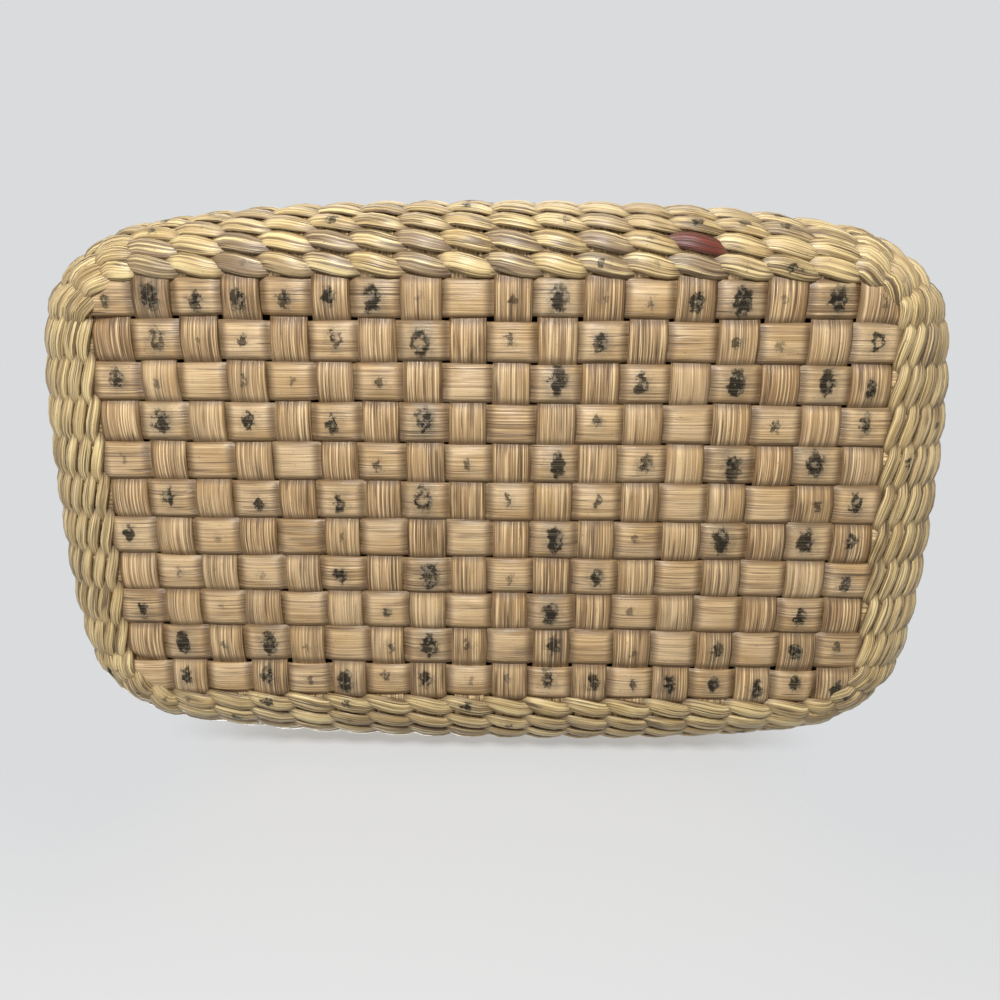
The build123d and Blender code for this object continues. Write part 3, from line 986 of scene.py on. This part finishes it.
def cord_strand_loop(name, side, strand):
    """One of the two strands of a loop, which wind round the loop's own line."""
    loop = new_torus(name, cord_lays * cord_steps, cord_round_steps)
    mesh = loop.data
    turn, section = torus_turns(mesh)
    lay = 2 * np.pi * (turn * cord_lays + strand / 2)
    out = np.stack([0 * turn, np.cos(2 * np.pi * turn), np.sin(2 * np.pi * turn)], axis=-1)
    across = np.stack([1 + 0 * turn, 0 * turn, 0 * turn], axis=-1)
    centre = out * hinge_loop_radius
    centre = centre + (out * np.cos(lay)[:, None] + across * np.sin(lay)[:, None]) * cord_twist
    angle = 2 * np.pi * section
    round_it = out * np.cos(angle)[:, None] + across * np.sin(angle)[:, None]
    points = centre + round_it * cord_strand / 2
    place_points(mesh, points + np.array([side * hinge_x, hinge_y, hinge_z]))
    along = at_corners(mesh, turn, 1.0) * cord_loop_length
    add_uv(mesh, "fibre", along, at_corners(mesh, section, 1.0) * cord_girth)
    add_plain_tone(mesh, 0.1)
    return loop


loop_parts = [
    cord_strand_loop(f"loop_{side}_{strand}", side, strand) for side in (-1, 1) for strand in (0, 1)
]
loops = join(loop_parts, "hinge_cords")
recalculate(loops)
cord_leaf = leaf_finish(
    "cord_leaf", ((0.60, 0.44, 0.24, 1), (0.45, 0.305, 0.145, 1), (0.34, 0.21, 0.10, 1)),
    line_strength=0.8, roughness=0.55, marked=False,
)
loops.data.materials.append(cord_leaf)
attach(loops, "bag")
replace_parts(loops, "hinge_loops")

# Handles. An arch of cane for each long wall, bound with leaf from foot to foot. The feet run down the
# wall outside, and the legs lean a little away from the lid.
foot_x = 0.048
foot_y = 0.084596
foot_drop = 0.050
foot_z = wall_top + rim_height - foot_drop
foot_length = 0.020
leg_length = 0.056
handle_lean = math.radians(10)
bend_radius = 0.030
handle_thickness = 0.0085
handle_wrap_pitch = 0.0068
handle_round_steps = 12
seam_gap = 0.00001


def handle_line(distance):
    """A point of the back handle at a distance from its left foot, with the ways out and back there."""
    bend = bend_radius * handle_lean
    arch = math.pi * foot_x
    total = 2 * (foot_length + bend + leg_length) + arch
    second = distance > total / 2
    along = np.where(second, total - distance, distance)
    on_bend = np.clip((along - foot_length) / bend, 0, 1) * handle_lean
    on_leg = np.clip(along - foot_length - bend, 0, leg_length)
    on_arch = np.clip(along - foot_length - bend - leg_length, 0, None) / foot_x
    below = np.clip(along, -0.01, foot_length)
    leg_up = on_leg + foot_x * np.sin(on_arch)
    x = -foot_x * np.cos(on_arch)
    y = foot_y + bend_radius * (1 - np.cos(on_bend)) + leg_up * math.sin(handle_lean)
    z = foot_z + below + bend_radius * np.sin(on_bend) + leg_up * math.cos(handle_lean)
    mirror = np.where(second, -1, 1)
    spot = np.stack([x * mirror, y, z], axis=-1)
    away = np.stack([
        -np.cos(on_arch) * mirror, np.sin(on_arch) * np.sin(on_bend), np.sin(on_arch) * np.cos(on_bend),
    ], axis=-1)
    back = np.stack([0 * x, np.cos(on_bend), -np.sin(on_bend)], axis=-1)
    return spot, away, back, total


handle_total = float(handle_line(np.array([0.0]))[3])
handle_wraps = int(round(handle_total / handle_wrap_pitch))


def add_handle(name, at_front):
    """A tube laid out of a flat sheet, with its long seam and its two ends closed."""
    handle = new_grid(name, handle_wraps * wrap_steps, handle_round_steps)
    mesh = handle.data
    flat = point_array(mesh)
    along = (flat[:, 0] + 0.5) * handle_total
    section = flat[:, 1] + 0.5
    angle = 2 * np.pi * section
    pitch = handle_total / handle_wraps
    ridge = np.abs(np.sin(np.pi * along / pitch)) ** ridge_power
    radius = handle_thickness / 2 * (0.92 + 0.08 * ridge)
    spot, away, back, total = handle_line(along + wrap_slant * pitch * np.sin(angle))
    points = spot + away * (np.cos(angle) * radius)[:, None] + back * (np.sin(angle) * radius)[:, None]
    if at_front:
        points = points * np.array([-1, -1, 1])
    place_points(mesh, points)
    turn_corner = at_corners(mesh, along / pitch)
    number = np.clip(np.floor(turn_corner.mean(axis=1)).astype(int), 0, handle_wraps - 1)
    offset = draw.uniform(0, 5, handle_wraps)
    wound = at_corners(mesh, section) * wrap_girth + offset[number][:, None]
    add_uv(mesh, "fibre", wound, turn_corner * pitch)
    add_plain_tone(mesh, draw.uniform(0, 0.35, handle_wraps)[number])
    bpy.ops.object.mode_set(mode="EDIT")
    bpy.ops.mesh.select_all(action="SELECT")
    bpy.ops.mesh.remove_doubles(threshold=seam_gap)
    bpy.ops.mesh.select_all(action="DESELECT")
    bpy.ops.mesh.select_non_manifold(extend=False, use_wire=False, use_boundary=True)
    bpy.ops.mesh.fill_holes(sides=0)
    bpy.ops.object.mode_set(mode="OBJECT")
    recalculate(handle)
    handle.data.materials.append(handle_leaf)
    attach(handle, "bag")
    return handle


handle_leaf = leaf_finish(
    "handle_leaf", ((0.62, 0.455, 0.24, 1), (0.46, 0.305, 0.14, 1), (0.34, 0.205, 0.10, 1)),
    line_strength=0.85, roughness=0.42, marked=False,
)
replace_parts(add_handle("handle_back_bound", False), "handle_back")
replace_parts(add_handle("handle_front_bound", True), "handle_front")

# Lashings. Four turns of leaf strip round each foot and through the wall behind it, in two places.
lashing_spacing = 0.0095
lowest_lashing = foot_z + 0.00175
lashing_height = 0.007
lashing_turns = 4
lashing_strip = 0.0012
lashing_clearance = 0.0007
lashing_wall_depth = 0.0062
lashing_slope = 0.0003
lashing_overlap = 0.54
lashing_length = 0.035
lashing_leaf_width = 0.005
lashing_steps = 24
lashing_round_steps = 6


def lashing_turn(name, low, side, number, front):
    """One turn of a lashing, round a foot outside the wall and flatter where it goes through the wall."""
    band = new_torus(name, lashing_steps, lashing_round_steps)
    mesh = band.data
    turn, section = torus_turns(mesh)
    angle = 2 * np.pi * turn
    turn_height = lashing_height / lashing_turns
    radius = handle_thickness / 2 + lashing_clearance
    through_wall = -lashing_wall_depth * np.abs(np.sin(angle)) ** 0.5
    x = radius * np.cos(angle)
    y = np.where(np.sin(angle) > 0, radius * np.sin(angle), through_wall)
    z = low + (number + 0.5) * turn_height + lashing_slope * np.cos(angle) * (1 if number % 2 else -1)
    out = np.stack([np.cos(angle), np.sin(angle), 0 * angle], axis=-1)
    around = 2 * np.pi * section
    spot = np.stack([x, y, z], axis=-1) + out * (np.cos(around) * lashing_strip / 2)[:, None]
    spot[:, 2] += np.sin(around) * turn_height * lashing_overlap
    spot = spot + np.array([side * foot_x, foot_y, 0])
    if front:
        spot = spot * np.array([-1, -1, 1])
    place_points(mesh, spot)
    along = at_corners(mesh, turn, 1.0) * lashing_length + draw.uniform(0, 5)
    add_uv(mesh, "fibre", along, at_corners(mesh, section, 1.0) * lashing_leaf_width)
    add_plain_tone(mesh, draw.uniform(0, 0.4))
    return band


for name, node, front in (
    ("lashings_back_wound", "handle_lashings_back", False),
    ("lashings_front_wound", "handle_lashings_front", True),
):
    bands = []
    for place in range(2):
        low = lowest_lashing + place * lashing_spacing
        for side in (-1, 1):
            for number in range(lashing_turns):
                bands.append(lashing_turn(f"{name}_{place}_{side}_{number}", low, side, number, front))
    lashings = join(bands, name)
    recalculate(lashings)
    lashings.data.materials.append(binding_leaf)
    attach(lashings, "bag")
    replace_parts(lashings, node)
